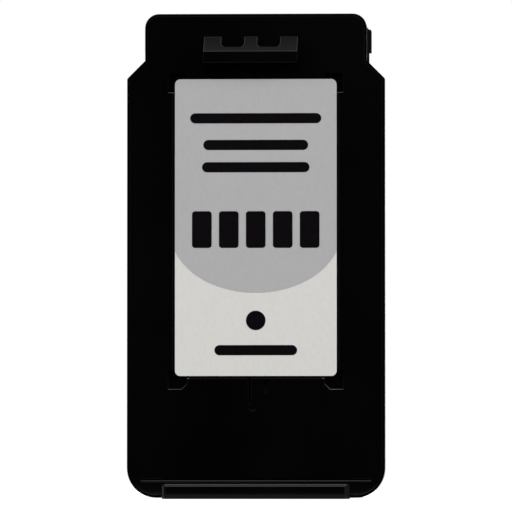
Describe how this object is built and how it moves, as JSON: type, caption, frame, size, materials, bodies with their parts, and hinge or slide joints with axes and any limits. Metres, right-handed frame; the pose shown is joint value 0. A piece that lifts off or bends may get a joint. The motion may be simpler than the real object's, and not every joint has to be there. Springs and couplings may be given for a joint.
{
  "type": "inkjet ink cartridge",
  "caption": "Ink cartridge with its own print head: a black tank with a winged lid, a latch catch, a finger lip and a grey label, and a snout with the nozzle plate and contact pads.",
  "frame": {"origin": "middle of the base, the end with the finger lip that the cartridge stands on", "axes": "+Z from the finger lip to the head end, -Y out of the label side, +X to the right as the label is read"},
  "size_m": [0.033, 0.0444, 0.0621],
  "materials": {
    "housing_plastic": "fine moulded, satin",
    "lid_plastic": "smooth moulded, satin",
    "label_film": "coated, matt",
    "grey_print": "printed, matt",
    "dark_print": "printed, matt",
    "fibre": "ink-soaked felt",
    "mesh": "woven stainless",
    "silicon": "polished",
    "nozzle_resin": "clear amber resin",
    "adhesive": "cured",
    "sealant": "glossy cured bead",
    "polyimide": "amber film",
    "gold": "gold plated"
  },
  "bodies": {
    "root": {"tank_housing": "housing_plastic", "lid": "lid_plastic", "label": "label_film", "label_grey_field": "grey_print", "label_marks": "dark_print", "ink_absorber": "fibre", "filter_screen": "mesh", "head_chip": "silicon", "nozzle_plate": "nozzle_resin", "chip_adhesive": "adhesive", "chip_sealant": "sealant", "inner_leads": "gold", "lead_sealant": "sealant", "wiring_tape": "polyimide", "tape_adhesive": "adhesive", "conductor_traces": "polyimide", "contact_pads": "gold"}
  },
  "joints": []
}
